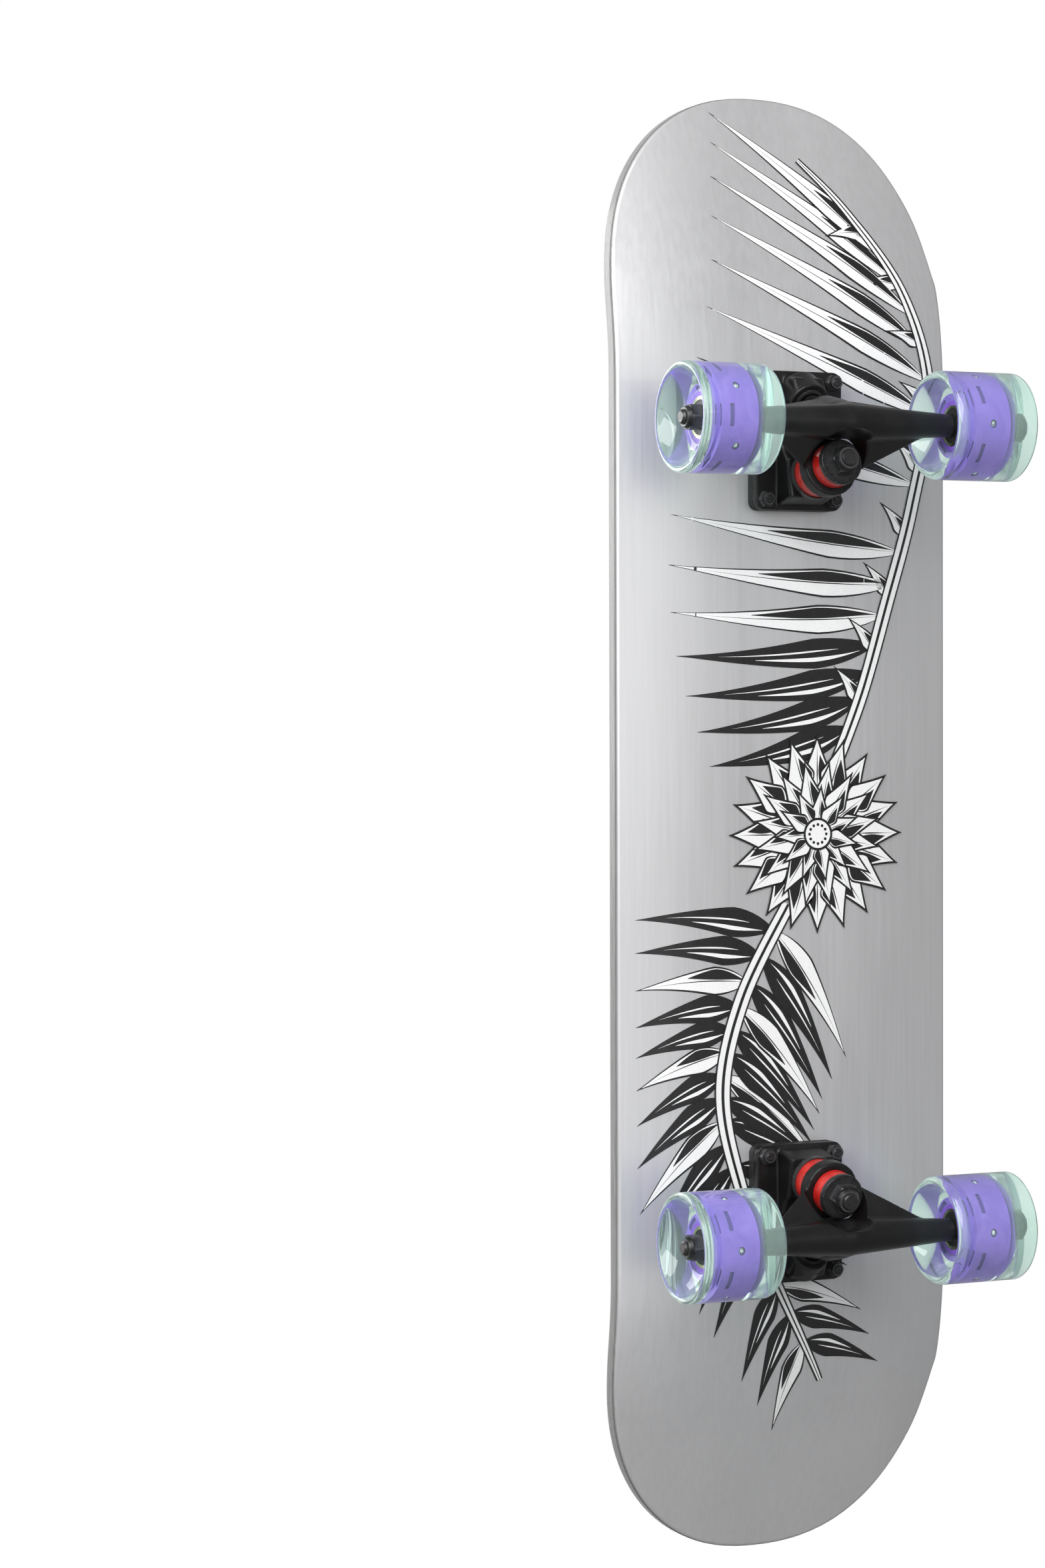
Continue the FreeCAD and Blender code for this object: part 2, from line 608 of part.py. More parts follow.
def make_balls_and_cages():
    """Seven balls in a crown cage for each of the two bearings."""
    cage = tube(8.6, 6.6, -2.3, -0.5)
    balls = []
    for k in range(BALL_COUNT):
        place = polar(360 / BALL_COUNT * k, PITCH_R)
        balls.append(Part.makeSphere(BALL_R, place))
        cage = cage.cut(Part.makeSphere(BALL_R + 0.08, place))
    return [copy_at(s, V(0, 0, o)) for o in bearing_offsets() for s in balls + [cage]]


# ---- the whole board --------------------------------------------------------------------------
def place_truck(solids, end):
    """Moves truck solids under the deck, at the nose (+1) or, turned round, at the tail (-1)."""
    placed = []
    for solid in solids:
        moved = copy_at(solid, V(TRUCK_X, 0, DECK_Z))
        if end < 0:
            moved.rotate(V(0, 0, 0), UP, 180)
        placed.append(moved)
    return placed


def place_wheel(part, solids, end, side):
    """Moves wheel solids onto the axle of that end and side. The tyre's outer face looks away from the
    board, and every core has its +Z side to the right."""
    centre = V(end * (TRUCK_X + AXLE_X), side * WHEEL_Y, WHEEL_R)
    facing = LEFT * side if part == "tyre" else LEFT * -1
    stopped_at = 45 if (end, side) == (1, -1) else 0
    placed = []
    for solid in solids:
        moved = solid.copy()
        moved.rotate(V(0, 0, 0), UP, stopped_at)
        placed.append(pose(moved, centre, facing))
    return placed


def main():
    os.makedirs("parts", exist_ok=True)
    save("deck", [make_deck()])
    save("grip_tape", [make_grip()])
    save("mounting_bolts", make_mounting_bolts())
    save("mounting_nuts", make_mounting_nuts())
    truck = {
        "riser_pad": [make_riser()],
        "baseplate": [make_baseplate()],
        "pivot_cup": [make_pivot_cup()],
        "kingpin": [make_kingpin()],
        "kingpin_nut": [make_kingpin_nut()],
        "road_cup_washer": [cup_washer(12.2, 11.3, 1.5, 1.6, ROAD_WASHER_AT, 1)],
        "cone_bushing": [bushing(12.0, 11.0, CONE_AT, RING_AT, 3.5)],
        "barrel_bushing": [bushing(BARREL_R, BARREL_R, BARREL_AT, BOARD_WASHER_AT, -3.5)],
        "board_cup_washer": [cup_washer(13.2, BARREL_R + 0.1, 1.5, 2.6, BOARD_WASHER_AT, -1)],
        "hanger": [make_hanger()],
        "axle": [make_axle()],
        "speed_rings": make_speed_rings(),
        "axle_nuts": make_axle_nuts(),
        "bearing_inner_races": make_inner_races(),
        "magnet_spacers": make_magnet_spacers(),
    }
    wheel = {
        "tyre": [make_tyre()],
        "core": [make_core()],
        "led_module": make_led_module(),
        "bearing_outer_races": make_outer_races(),
        "bearing_shields": make_shields(),
        "bearing_balls": make_balls_and_cages(),
    }
    for end, end_name in ((1, "front"), (-1, "rear")):
        for part, solids in truck.items():
            save(f"{end_name}_{part}", place_truck(solids, end))
        for side, side_name in ((1, "left"), (-1, "right")):
            for part, solids in wheel.items():
                save(f"{end_name}_{side_name}_wheel_{part}", place_wheel(part, solids, end, side))
    ring = RING_CENTRE + V(TRUCK_X, 0, DECK_Z)
    print("steering axis through", ring, "along", STEERING)


main()
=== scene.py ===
"""The looks of a skateboard: satin silver deck with a printed leaf pattern, black grip tape and trucks,
red bushings, and clear urethane wheels round violet light-up cores.

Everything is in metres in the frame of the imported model: +X towards the nose, +Y left, +Z up.
"""
import json
import math

import bmesh
import bpy
from mathutils import Euler, Matrix, Vector
from mathutils.bvhtree import BVHTree


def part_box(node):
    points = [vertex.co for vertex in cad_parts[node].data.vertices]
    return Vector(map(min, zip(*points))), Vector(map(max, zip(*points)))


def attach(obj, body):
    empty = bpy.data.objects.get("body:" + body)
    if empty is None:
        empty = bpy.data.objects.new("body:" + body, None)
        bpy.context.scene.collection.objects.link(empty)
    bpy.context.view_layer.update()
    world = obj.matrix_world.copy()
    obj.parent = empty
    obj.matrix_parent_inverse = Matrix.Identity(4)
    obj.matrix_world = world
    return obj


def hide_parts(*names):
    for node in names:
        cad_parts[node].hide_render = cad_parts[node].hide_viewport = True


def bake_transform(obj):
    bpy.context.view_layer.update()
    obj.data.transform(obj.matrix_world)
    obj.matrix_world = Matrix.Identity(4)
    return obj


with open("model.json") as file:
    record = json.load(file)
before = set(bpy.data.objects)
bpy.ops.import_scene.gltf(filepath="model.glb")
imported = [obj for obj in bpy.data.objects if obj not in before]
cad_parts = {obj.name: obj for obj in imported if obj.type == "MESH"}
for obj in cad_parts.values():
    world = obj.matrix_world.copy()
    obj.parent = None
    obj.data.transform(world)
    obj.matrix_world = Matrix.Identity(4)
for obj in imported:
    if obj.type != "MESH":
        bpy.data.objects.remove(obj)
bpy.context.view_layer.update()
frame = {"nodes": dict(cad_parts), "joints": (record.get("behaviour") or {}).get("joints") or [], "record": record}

MM = 0.001
ENDS = ("front", "rear")
SIDES = ("left", "right")
JOINTS = {joint["name"]: joint for joint in frame["joints"]}
NODES = frame["nodes"]

# ---- sizes in millimetres, where the frame does not hold them --------------------------------------
WHEEL_R = 29.0
WHEEL_HALF = 24.1            # half the width of a wheel
LIP_R = 1.6                  # rounding of the edge between the tread and the outer face
INNER_SHOULDER_R = 4.5       # the same on the side of the truck, which is rounder
SHOULDER_JOIN = 35.0         # degrees from the axle where shoulder and lip meet
LIP_END = -68.0              # and where the lip runs into the bowl
BOWL_R = 14.08               # where the bowl ends at the hub
SEAM_R = 13.8                # the hidden step between the bowl and the bore
HUB_HALF = 12.0
TYRE_BORE = 13.0             # hidden inside the wall of the core's sleeve
DRUM_R = 18.5                # the violet core
GROOVE_SHADE_DEPTHS = (0.1, 0.6)   # below the drum's face, where painted shade in a groove starts and is full
DRUM_SHADE_EDGES = (10.4, 10.2)     # from the middle of the wheel, where the painted shade on the drum ends and is full
KINGPIN_LEAN = 10.5          # degrees from vertical, tip towards the axle
RING_HALF = 4.0              # half the height of the hanger's kingpin ring
RING_PLUG_R = 9.4            # the bushings plug into the ring
BUSHING_BORE = 6.3           # loose round the kingpin, to leave room for the bend; hidden
BUSHINGS = {                 # way up the kingpin, height, radius at the ring, at the washer, washer's lip
    "cone": (-1, 10.0, 12.0, 11.0, 1.8),
    "barrel": (1, 12.7, 12.2, 12.2, 2.8),
}
INK = 0.035                  # distance between two layers of ink
THORN_LIMIT = 96             # how far from the middle line the thorns of the long branch may reach
BUNCH_LIMIT = 88             # and the leaves of the dark bunch


# ---- small mesh tools ----------------------------------------------------------------------------
def add_mesh(name, verts, faces, smooth=True):
    """Makes a mesh object from points in metres, with its faces turned outwards."""
    mesh = bpy.data.meshes.new(name)
    mesh.from_pydata(verts, [], faces)
    work = bmesh.new()
    work.from_mesh(mesh)
    bmesh.ops.recalc_face_normals(work, faces=work.faces)
    work.to_mesh(mesh)
    work.free()
    if smooth:
        mesh.shade_smooth()
    obj = bpy.data.objects.new(name, mesh)
    bpy.context.scene.collection.objects.link(obj)
    return obj


def finish_piece(obj, body, material):
    """Says which body a piece rides on and what it is made of."""
    obj.data.materials.clear()
    obj.data.materials.append(material)
    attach(obj, body)


def arc(centre, radius, start, end, steps):
    """Points (along, out) on an arc, angles in degrees."""
    points = []
    for k in range(steps + 1):
        a = math.radians(start + (end - start) * k / steps)
        points.append((centre[0] + radius * math.cos(a), centre[1] + radius * math.sin(a)))
    return points


def lathe(name, profile, centre, segments):
    """Turns a closed profile of (along Y, out) millimetre points about the Y axis through centre."""
    verts, faces = [], []
    count = len(profile)
    for s in range(segments):
        a = 2 * math.pi * s / segments
        for along, out in profile:
            offset = Vector((out * math.cos(a), along, out * math.sin(a))) * MM
            verts.append(centre + offset)
        following = (s + 1) % segments
        for k in range(count):
            j = (k + 1) % count
            faces.append((s * count + k, s * count + j, following * count + j, following * count + k))
    return add_mesh(name, verts, faces)


# ---- material tools ------------------------------------------------------------------------------
class Look:
    """A node material around one Principled shader, with short calls for the nodes it needs."""

    def __init__(self, name, **settings):
        self.material = bpy.data.materials.new(name)
        self.material.use_nodes = True
        self.tree = self.material.node_tree
        self.shader = self.tree.nodes["Principled BSDF"]
        self.output = self.tree.nodes["Material Output"]
        self.where = self.tree.nodes.new("ShaderNodeTexCoord").outputs["Object"]
        for key, value in settings.items():
            self.shader.inputs[key.replace("_", " ")].default_value = value

    def node(self, kind, inputs=(), **settings):
        made = self.tree.nodes.new("ShaderNode" + kind)
        for key, value in settings.items():
            setattr(made, key, value)
        for key, value in dict(inputs).items():
            if isinstance(value, bpy.types.NodeSocket):
                self.tree.links.new(value, made.inputs[key])
            else:
                made.inputs[key].default_value = value
        return made

    def stretched(self, x, y, z):
        """Coordinates scaled for a texture, in cycles per metre."""
        return self.node("Mapping", {"Vector": self.where, "Scale": (x, y, z)}).outputs["Vector"]

    def noise(self, scale, detail=3.0, rough=0.55, vector=None, distortion=0.0):
        inputs = {"Vector": vector or self.where, "Scale": scale, "Detail": detail,
                  "Roughness": rough, "Distortion": distortion}
        return self.node("TexNoise", inputs).outputs["Fac"]

    def lengthwise_grain(self):
        """The grain of maple along the board, which also shows through the ink."""
        return self.noise(1.0, 5.0, 0.62, self.stretched(14.0, 420.0, 420.0), 0.35)

    def cells(self, scale, output="Distance"):
        return self.node("TexVoronoi", {"Vector": self.where, "Scale": scale}).outputs[output]

    def spread(self, value, low, high, to_low=0.0, to_high=1.0):
        inputs = {"Value": value, "From Min": low, "From Max": high, "To Min": to_low, "To Max": to_high}
        return self.node("MapRange", inputs).outputs["Result"]

    def math(self, operation, a, b=0.0):
        return self.node("Math", {0: a, 1: b}, operation=operation).outputs[0]

    def mix(self, factor, a, b):
        made = self.node("Mix", {"Factor": factor}, data_type="RGBA")
        for socket, value in zip(made.inputs[6:8], (a, b)):
            if isinstance(value, bpy.types.NodeSocket):
                self.tree.links.new(value, socket)
            else:
                socket.default_value = (*value, 1.0)
        return made.outputs[2]

    def colour(self, value):
        self.tree.links.new(value, self.shader.inputs["Base Color"])

    def roughness(self, value):
        self.tree.links.new(value, self.shader.inputs["Roughness"])

    def metallic(self, value):
        self.tree.links.new(value, self.shader.inputs["Metallic"])

    def bump(self, height, depth_mm, strength=1.0, after=None):
        """Bump whose full height is depth_mm."""
        inputs = {"Height": height, "Distance": depth_mm * MM, "Strength": strength}
        if after is not None:
            inputs["Normal"] = after
        out = self.node("Bump", inputs).outputs["Normal"]
        self.tree.links.new(out, self.shader.inputs["Normal"])
        return out


def silver_lacquer():
    """Satin silver lacquer on maple: fine grain lengthwise, darker and duller on the sawn rail."""
    look = Look("silver_lacquer", Metallic=0.55, Roughness=0.36, Coat_Weight=0.25, Coat_Roughness=0.2)
    grain = look.lengthwise_grain()
    pores = look.noise(1.0, 2.0, 0.5, look.stretched(60.0, 1500.0, 1500.0))
    cloud = look.noise(5.0, 2.0, 0.5, look.stretched(1.0, 2.5, 2.5))
    upright = look.node("SeparateXYZ", {0: look.node("NewGeometry").outputs["Normal"]}).outputs["Z"]
    rail = look.spread(look.math("ABSOLUTE", upright), 0.80, 0.45)
    face = look.mix(look.spread(cloud, 0.3, 0.7), (0.56, 0.56, 0.57), (0.64, 0.64, 0.65))
    face = look.mix(look.spread(grain, 0.35, 0.75, 0.0, 0.5), face, (0.68, 0.68, 0.69))
    edge = look.mix(look.spread(pores, 0.3, 0.7), (0.13, 0.13, 0.13), (0.21, 0.21, 0.205))
    look.colour(look.mix(rail, face, edge))
    look.metallic(look.spread(rail, 0.0, 1.0, 0.55, 0.1))
    gloss = look.spread(grain, 0.3, 0.7, 0.30, 0.40)
    look.roughness(look.math("ADD", gloss, look.math("MULTIPLY", rail, 0.2)))
    first = look.bump(grain, 0.03, 0.4)
    look.bump(pores, 0.012, 0.4, first)
    return look.material


def grip_grit():
    """Black silicon-carbide grit: sharp grains, with painted glints: a few random grains painted light grey."""
    look = Look("grip_grit", Roughness=0.85, Specular_IOR_Level=0.25)
    grains = look.cells(1700.0)
    speck = look.cells(2300.0, output="Color")
    # painted glints: a few random grains are painted light grey and made glossier
    painted_glints = look.spread(look.node("SeparateColor", {0: speck}).outputs[0], 0.980, 0.990)
    lighter_where = look.noise(9.0, 4.0)
    base = look.mix(look.spread(lighter_where, 0.35, 0.7), (0.009, 0.009, 0.010), (0.016, 0.016, 0.017))
    look.colour(look.mix(painted_glints, base, (0.42, 0.42, 0.43)))
    look.roughness(look.spread(painted_glints, 0.0, 1.0, 0.88, 0.5))
    look.bump(look.math("ADD", grains, look.noise(3200.0, 1.0)), 0.28, 0.7)
    return look.material


def ink(name, light, dark, shine):
    """Screen-printed ink: nearly even, with the fine unevenness of the screen."""
    look = Look(name, Roughness=shine, Coat_Weight=0.2, Coat_Roughness=0.15)
    mottle = look.noise(900.0, 2.0)
    look.colour(look.mix(look.spread(mottle, 0.3, 0.7), dark, light))
    grain = look.lengthwise_grain()
    look.roughness(look.spread(grain, 0.3, 0.7, shine - 0.05, shine + 0.08))
    look.bump(grain, 0.04, 0.4)
    return look.material


def cast_black():
    """Cast aluminium under satin black powder coat, its sharp edges painted a little lighter in patches."""
    look = Look("cast_black", Roughness=0.36, Specular_IOR_Level=0.32,
                Coat_Weight=0.08, Coat_Roughness=0.2)
    fine = look.noise(1600.0, 2.0)
    broad = look.noise(60.0, 4.0)
    base = look.mix(look.spread(broad, 0.35, 0.7), (0.005, 0.005, 0.005), (0.009, 0.009, 0.0095))
    # sharp edges painted a little lighter grey, in random patches
    lighter_where = look.spread(look.node("NewGeometry").outputs["Pointiness"], 0.56, 0.66)
    lighter_where = look.math("MULTIPLY", lighter_where, look.spread(look.noise(300.0, 3.0), 0.5, 0.72))
    look.colour(look.mix(lighter_where, base, (0.04, 0.04, 0.04)))
    look.roughness(look.spread(broad, 0.3, 0.7, 0.30, 0.42))
    first = look.bump(broad, 0.15, 0.25)
    look.bump(fine, 0.05, 0.5, first)
    return look.material


def black_steel():
    """Black oxide on turned steel, with a painted highlight: its sharp edges are painted lighter."""
    look = Look("black_steel", Metallic=0.4, Roughness=0.36, Specular_IOR_Level=0.4)
    wear = look.noise(420.0, 4.0, 0.6)
    # painted highlight: sharp edges painted lighter grey than the black oxide
    edge = look.spread(look.node("NewGeometry").outputs["Pointiness"], 0.53, 0.62)
    base = look.mix(look.spread(wear, 0.4, 0.75), (0.013, 0.013, 0.014), (0.030, 0.030, 0.031))
    look.colour(look.mix(edge, base, (0.085, 0.085, 0.088)))
    look.roughness(look.spread(wear, 0.3, 0.7, 0.24, 0.42))
    look.bump(wear, 0.012, 0.25)
    return look.material


def bright_steel(name, tint, rough):
    """Turned steel with fine rings round the axle."""
    look = Look(name, Metallic=1.0, Roughness=rough)
    rings = look.noise(1.0, 3.0, 0.6, look.stretched(300.0, 6000.0, 300.0))
    spots = look.noise(500.0, 4.0)
    darker = tuple(0.8 * c for c in tint)
    look.colour(look.mix(look.spread(spots, 0.35, 0.7), darker, tint))
    look.roughness(look.spread(rings, 0.3, 0.7, rough - 0.06, rough + 0.1))
    look.bump(rings, 0.01, 0.4)
    return look.material


def dull_rubber(name, light, dark, rough=0.62):
    """Moulded rubber or soft plastic with a faint bloom."""
    look = Look(name, Roughness=rough, Specular_IOR_Level=0.4)
    bloom = look.noise(140.0, 4.0)
    look.colour(look.mix(look.spread(bloom, 0.35, 0.72), dark, light))
    look.roughness(look.spread(bloom, 0.3, 0.7, rough - 0.08, rough + 0.08))
    look.bump(look.noise(2200.0, 2.0), 0.03, 0.5)
    return look.material


def red_urethane():
    """Cast red urethane: slightly see-through, with soft turning marks."""
    look = Look("red_urethane", Roughness=0.28, Subsurface_Weight=0.25, Subsurface_Scale=0.002,
                Coat_Weight=0.3, Coat_Roughness=0.15)
    look.shader.inputs["Subsurface Radius"].default_value = (1.0, 0.1, 0.08)
    cloud = look.noise(130.0, 3.0)
    look.colour(look.mix(look.spread(cloud, 0.3, 0.7), (0.42, 0.010, 0.009), (0.60, 0.024, 0.016)))
    rings = look.noise(1.0, 2.0, 0.5, look.stretched(90.0, 90.0, 2200.0))
    look.roughness(look.spread(rings, 0.3, 0.7, 0.24, 0.36))
    look.bump(rings, 0.02, 0.5)
    return look.material


def clear_urethane():
    """Clear cast urethane, a little milky and green, with a polished skin. Lamps shine through it."""
    look = Look("clear_urethane", Roughness=0.07, IOR=1.5, Transmission_Weight=0.90,
                Coat_Weight=0.15, Coat_Roughness=0.1, Coat_IOR=1.4)
    cloud = look.noise(45.0, 3.0)
    look.colour(look.mix(look.spread(cloud, 0.3, 0.7), (0.70, 0.93, 0.83), (0.80, 0.97, 0.90)))
    scuff = look.spread(look.noise(700.0, 4.0, 0.65), 0.60, 0.78)
    look.roughness(look.spread(scuff, 0.0, 1.0, 0.06, 0.14))
    look.bump(look.noise(180.0, 2.0), 0.03, 0.25)
    shadow = look.node("BsdfTransparent", {"Color": (0.90, 0.97, 0.95, 1.0)})
    is_shadow = look.node("LightPath").outputs["Is Shadow Ray"]
    both = look.node("MixShader", {0: is_shadow, 1: look.shader.outputs[0], 2: shadow.outputs[0]})
    look.tree.links.new(both.outputs[0], look.output.inputs["Surface"])
    return look.material


def groove_shade(look):
    """Painted shade: 1 inside the grooves and windows of a wheel's drum, by the distance from its own axle."""
    axle = wheel_centre(ENDS[0], SIDES[0])
    place = look.node("SeparateXYZ", {0: look.where}).outputs
    fore = look.math("SUBTRACT", look.math("ABSOLUTE", place["X"]), abs(axle.x))
    rise = look.math("SUBTRACT", place["Z"], axle.z)
    squares = look.math("ADD", look.math("MULTIPLY", fore, fore), look.math("MULTIPLY", rise, rise))
    start, full = ((DRUM_R - depth) * MM for depth in GROOVE_SHADE_DEPTHS)
    deep = look.spread(look.math("SQRT", squares), start, full)
    across = look.math("SUBTRACT", look.math("ABSOLUTE", place["Y"]), abs(axle.y))
    within = look.spread(look.math("ABSOLUTE", across), *(edge * MM for edge in DRUM_SHADE_EDGES))
    return look.math("MULTIPLY", deep, within)


def violet_plastic():
    """Moulded violet plastic, a little translucent, with flow marks and painted shade in the grooves of its drum.
    """
    look = Look("violet_plastic", Roughness=0.35, Subsurface_Weight=0.2, Subsurface_Scale=0.002)
    look.shader.inputs["Subsurface Radius"].default_value = (0.6, 0.4, 1.0)
    flow = look.noise(70.0, 4.0, 0.6, None, 0.8)
    violet = look.mix(look.spread(flow, 0.3, 0.7), (0.185, 0.080, 0.52), (0.27, 0.135, 0.64))
    # painted shade: dark violet inside the drum's grooves and windows
    look.colour(look.mix(groove_shade(look), violet, (0.085, 0.030, 0.30)))
    look.roughness(look.spread(flow, 0.3, 0.7, 0.30, 0.42))
    look.bump(look.noise(1200.0, 2.0), 0.02, 0.4)
    return look.material


def lamp_clear():
    """Clear epoxy lamps over a reflector, on their circuit ring, with painted glints: random cells of it painted
    from grey to white.
    """
    look = Look("lamp_clear", Metallic=0.7, Roughness=0.12, Coat_Weight=1.0, Coat_Roughness=0.03)
    facets = look.cells(1500.0, output="Color")
    tone = look.node("SeparateColor", {0: facets}).outputs[0]
    # painted glints: random cells of the reflector painted from grey to white
    look.colour(look.mix(look.spread(tone, 0.2, 0.8), (0.30, 0.33, 0.38), (1.0, 1.0, 1.0)))
    look.roughness(look.spread(tone, 0.0, 1.0, 0.08, 0.3))
    look.bump(look.cells(1500.0), 0.25, 0.8)
    return look.material


# ---- the parts ------------------------------------------------------------------------------------
def wheel_centre(end, side):
    return Vector(JOINTS[f"{end}_{side}_wheel_spin"]["pos_m"])


def rim_points(shoulder_r):
    """Half of the tyre's outline as (along, out): shoulder, lip, bowl and the hidden seam at the hub."""
    join, end = math.radians(SHOULDER_JOIN), math.radians(LIP_END)
    apart = shoulder_r - LIP_R          # between the centres of shoulder and lip, which share a tangent
    lip = (WHEEL_HALF - LIP_R, WHEEL_R - shoulder_r + apart * math.sin(join))
    shoulder = (lip[0] - apart * math.cos(join), WHEEL_R - shoulder_r)
    points = arc(shoulder, shoulder_r, 90, SHOULDER_JOIN, 12)
    points += arc(lip, LIP_R, SHOULDER_JOIN - 6, LIP_END, 14)
    foot, hub = Vector(points[-1]), Vector((HUB_HALF, BOWL_R))
    chord = foot - hub
    turn = math.atan2(chord.y, chord.x) - math.pi / 2 - end
    radius = chord.length / 2 / math.sin(turn)
    middle = foot + Vector((math.cos(end), math.sin(end))) * radius
    heading = math.degrees(end) + 180
    points += arc(tuple(middle), radius, heading, heading + 2 * math.degrees(turn), 16)[1:]
    return points + [(HUB_HALF, SEAM_R), (HUB_HALF, TYRE_BORE + 0.2), (HUB_HALF - 0.2, TYRE_BORE)]


def make_tyre(end, side, material):
    """The clear tyre. It is solid round the drum, which is cast into it, and its faces are bowls."""
    outwards = 1 if side == "left" else -1
    profile = [(outwards * y, r) for y, r in rim_points(LIP_R)]
    profile += [(-outwards * y, r) for y, r in reversed(rim_points(INNER_SHOULDER_R))]
    tyre = lathe(f"{end}_{side}_tyre_clear", profile, wheel_centre(end, side), 160)
    finish_piece(tyre, f"{end}_{side}_wheel", material)
    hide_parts(f"{end}_{side}_wheel_tyre")


def cast_copy(node, body, material, voxel_mm, rounds):
    """A casting with soft fillets: the CAD solid resampled finely and relaxed."""
    obj = bpy.data.objects.new(f"{node}_casting", NODES[node].data.copy())
    bpy.context.scene.collection.objects.link(obj)
    resample = obj.modifiers.new("resample", "REMESH")
    resample.mode = "VOXEL"
    resample.voxel_size = voxel_mm * MM
    relax = obj.modifiers.new("relax", "SMOOTH")
    relax.factor = 0.5
    relax.iterations = rounds
    graph = bpy.context.evaluated_depsgraph_get()
    mesh = bpy.data.meshes.new_from_object(obj.evaluated_get(graph))
    obj.modifiers.clear()
    obj.data = mesh
    obj.data.shade_smooth()
    finish_piece(obj, body, material)
    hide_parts(node)


def make_bushing(end, kind, material):
    """A urethane bushing, between its washer, on the board, and the hanger's ring."""
    way, height, ring_r, washer_r, lip = BUSHINGS[kind]
    near, far = 0.5, RING_HALF + height         # the plug's end in the ring, and the end at the washer
    edge_r, crown, rows, bore_rows = 1.0, 0.25, 14, 16
    outline = [(near, BUSHING_BORE), (near, RING_PLUG_R - 0.5), (near + 0.5, RING_PLUG_R),
               (RING_HALF, RING_PLUG_R)]
    outline += arc((RING_HALF + edge_r, ring_r - edge_r), edge_r, 180, 90, 5)
    for k in range(1, rows):
        t = k / rows
        along = RING_HALF + edge_r + t * (height - 2 * edge_r)
        outline.append((along, ring_r + t * (washer_r - ring_r) + crown * math.sin(math.pi * t)))
    outline += arc((far - edge_r, washer_r - edge_r), edge_r, 90, 0, 5)
    outline += [(far - k * (far - near) / bore_rows, BUSHING_BORE) for k in range(bore_rows)]
    bushing = lathe(f"{end}_{kind}_bushing_cast", outline, Vector(), 96)
    lean = math.radians(KINGPIN_LEAN)
    direction = Vector((-math.sin(lean) if end == "front" else math.sin(lean), 0, math.cos(lean))) * way
    ring = Vector(JOINTS[f"{end}_steer"]["pos_m"])
    turn = Vector((0, 1, 0)).rotation_difference(direction).to_matrix().to_4x4()
    bushing.data.transform(Matrix.Translation(ring) @ turn)
    bushing.data.materials.append(material)
    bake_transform(bushing)
    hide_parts(f"{end}_{kind}_bushing")


# ---- the print on the underside ---------------------------------------------------------------------
def surface_finder(node):
    mesh = NODES[node].data
    mesh.calc_loop_triangles()
    return BVHTree.FromPolygons([v.co for v in mesh.vertices], [t.vertices for t in mesh.loop_triangles])


class Print:
    """Collects thin ink shapes on one side of the deck, each of them closed. Higher layers lie on top."""

    def __init__(self, name, finder, facing, lift_mm):
        self.name, self.finder, self.facing = name, finder, facing
        self.lift = lift_mm * MM
        self.verts, self.faces = [], []

    def on_deck(self, x, y, lift):
        start = Vector((x * MM, y * MM, 0.5 * self.facing))
        hit = self.finder.ray_cast(start, Vector((0, 0, -self.facing)))[0]
        return None if hit is None else hit + Vector((0, 0, self.facing * lift))

    def strip(self, rows, layer=0):
        """Adds a ribbon through rows of (x, y) millimetre points, if the deck is under all of it."""
        lift = self.lift + layer * 2 * INK * MM
        near = [[self.on_deck(x, y, lift) for x, y in row] for row in rows]
        if any(p is None for row in near for p in row):
            return False
        up = Vector((0, 0, self.facing * 0.9 * INK * MM))
        base, across, last = len(self.verts), len(rows[0]), len(rows) - 1
        total = len(rows) * across
        flat = [p for row in near for p in row]
        self.verts += flat + [p + up for p in flat]
        for i in range(last):
            for j in range(across - 1):
                a = base + i * across + j
                b, c, d = a + 1, a + across + 1, a + across
                self.faces += [(a, b, c, d), (d + total, c + total, b + total, a + total)]
            for j in (0, across - 1):
                a = base + i * across + j
                self.faces.append((a, a + across, a + across + total, a + total))
        for i in (0, last):
            for j in range(across - 1):
                a = base + i * across + j
                self.faces.append((a, a + 1, a + 1 + total, a + total))
        return True

    def finish(self, slot, material):
        obj = add_mesh(self.name, self.verts, self.faces, smooth=False)
        finish_piece(obj, "board", material)


class Leaf:
    """A lance-shaped leaf along a bent line, sharp at both ends."""

    def __init__(self, base, bend, tip, width, belly=0.36):
        self.base, self.bend, self.tip, self.width, self.belly = base, bend, tip, width, belly

    def grown(self, margin):
        """The same leaf a little bigger, with a long fine tip, for the outline."""
        dx, dy = self.tip[0] - self.bend[0], self.tip[1] - self.bend[1]
        reach = 3.6 * margin / math.hypot(dx, dy)
        tip = (self.tip[0] + dx * reach, self.tip[1] + dy * reach)
        return Leaf(self.base, self.bend, tip, self.width + 2.3 * margin, self.belly)

    def at(self, t, share):
        """The point at t along the leaf and share of its half width to the side."""
        x, y = bezier(self.base, self.bend, self.tip, t)
        ahead = bezier(self.base, self.bend, self.tip, min(t + 0.01, 1.0))
        behind = bezier(self.base, self.bend, self.tip, max(t - 0.01, 0.0))
        dx, dy = ahead[0] - behind[0], ahead[1] - behind[1]
        size = math.hypot(dx, dy)
        half = max(leaf_width(t, self.belly) * self.width / 2, 0.09) * share
        return x - dy / size * half, y + dx / size * half

    def rows(self, low=-1.0, high=1.0, start=0.0, stop=1.0, steps=20, across=3):
        """Rows across the leaf, or across a part of it that tapers at both of its ends."""
        whole = (low, high, start, stop) == (-1.0, 1.0, 0.0, 1.0)
        rows = []
        for i in range(steps + 1):
            u = i / steps
            full = 1.0 if whole else max(math.sin(math.pi * u), 0.04) ** 0.7
            middle, span = (low + high) / 2, (high - low) / 2 * full
            t = start + (stop - start) * u
            rows.append([self.at(t, middle + span * (2 * j / across - 1)) for j in range(across + 1)])
        return rows


